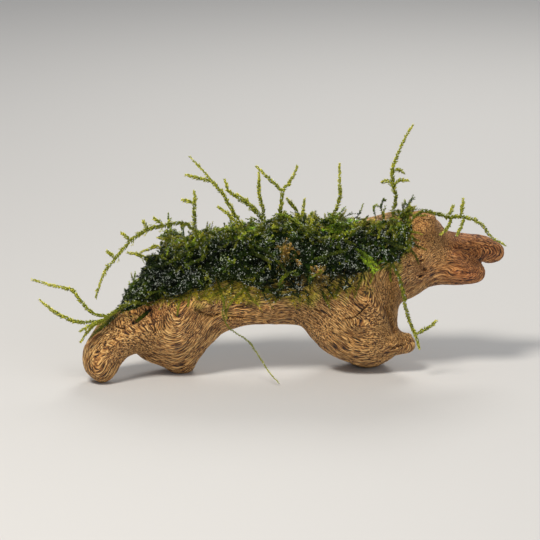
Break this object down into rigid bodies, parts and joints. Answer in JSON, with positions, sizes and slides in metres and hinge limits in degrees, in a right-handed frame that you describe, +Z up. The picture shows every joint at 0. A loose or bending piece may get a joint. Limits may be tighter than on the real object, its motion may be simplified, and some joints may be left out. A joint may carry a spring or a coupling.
{
  "type": "java moss on driftwood",
  "caption": "Gnarled aquarium driftwood standing on its lobes like a low arch, grown over with a mat of java moss whose long shoots stand up and trail.",
  "frame": {"origin": "under the middle of the whole piece's bounding box, on the surface it stands on", "axes": "+X along the wood from the left arm to the two right branches, +Y away from the front, +Z up"},
  "size_m": [0.2358, 0.0604, 0.1273],
  "materials": {
    "driftwood": "bare weathered driftwood, warm tan with fine wavy raised grain and dark grooves",
    "driftwood_red": "bare weathered driftwood, redder brown, with fine raised grain",
    "moss_mat": "living java moss, a dense tangle of dark green leafy shoots, wet and glinting",
    "moss_shoot": "living java moss, single leafy shoots, yellow-green to mid green, wet and glinting"
  },
  "bodies": {
    "root": {"driftwood_left_arm": "driftwood", "driftwood_left_foot": "driftwood", "driftwood_trunk": "driftwood", "driftwood_right_foot": "driftwood", "driftwood_crown": "driftwood", "driftwood_upper_branch": "driftwood_red", "driftwood_lower_branch": "driftwood_red", "moss_left_clump": "moss_mat", "moss_middle_clump": "moss_mat", "moss_right_clump": "moss_mat", "shoot_tall_left": "moss_shoot", "shoot_leaning": "moss_shoot", "shoot_leaning_back": "moss_shoot", "shoot_short_front": "moss_shoot", "shoot_forked": "moss_shoot", "shoot_upright_back": "moss_shoot", "shoot_short_middle": "moss_shoot", "shoot_upright_left": "moss_shoot", "shoot_arching_left": "moss_shoot", "shoot_low_left": "moss_shoot", "shoot_side_left": "moss_shoot", "frond_left": "moss_shoot", "shoot_straight_right": "moss_shoot", "shoot_tall_right": "moss_shoot", "shoot_trailing_right": "moss_shoot", "shoot_hanging_right": "moss_shoot", "shoot_hanging_middle": "moss_shoot", "shoot_back_left": "moss_shoot", "shoot_back_middle": "moss_shoot", "shoot_back_hanging": "moss_shoot"}
  },
  "joints": []
}
